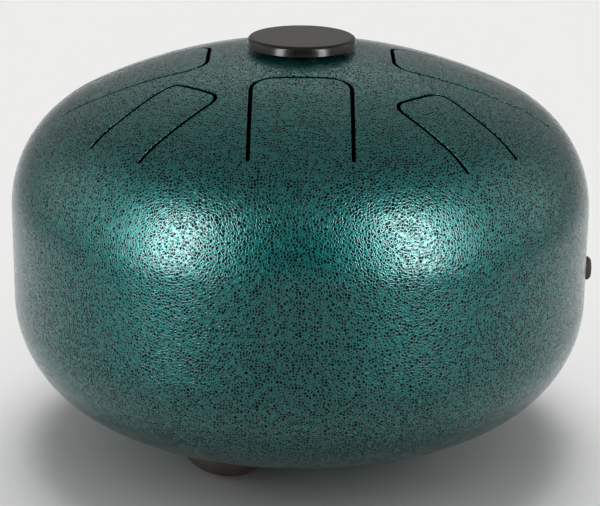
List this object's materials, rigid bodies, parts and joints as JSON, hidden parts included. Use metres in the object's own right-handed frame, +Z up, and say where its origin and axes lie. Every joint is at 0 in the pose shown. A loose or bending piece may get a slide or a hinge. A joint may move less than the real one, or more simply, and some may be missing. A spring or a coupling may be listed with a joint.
{
  "type": "steel tongue drum",
  "caption": "Free-standing steel tongue drum: closed round welded body, U-slot tongues in its domed top, a round centre cap, a side plug and domed rubber feet.",
  "frame": {"origin": "centre of the plane that the feet stand on, under the drum's axis", "axes": "+Z up along the drum's axis; -Y towards the front tongue; +X to the right, where the side plug is"},
  "size_m": [0.3087, 0.3048, 0.2252],
  "materials": {
    "hammer_paint": "glossy metallic teal hammertone paint on steel",
    "cap_plastic": "polished black moulded plastic",
    "black_rubber": "matt brown-black moulded rubber"
  },
  "bodies": {
    "root": {"top_shell": "hammer_paint", "bottom_shell": "hammer_paint", "seam_weld": "hammer_paint", "centre_cap": "cap_plastic", "side_plug": "black_rubber", "foot_front_left": "black_rubber", "foot_right": "black_rubber", "foot_rear": "black_rubber"}
  },
  "joints": []
}
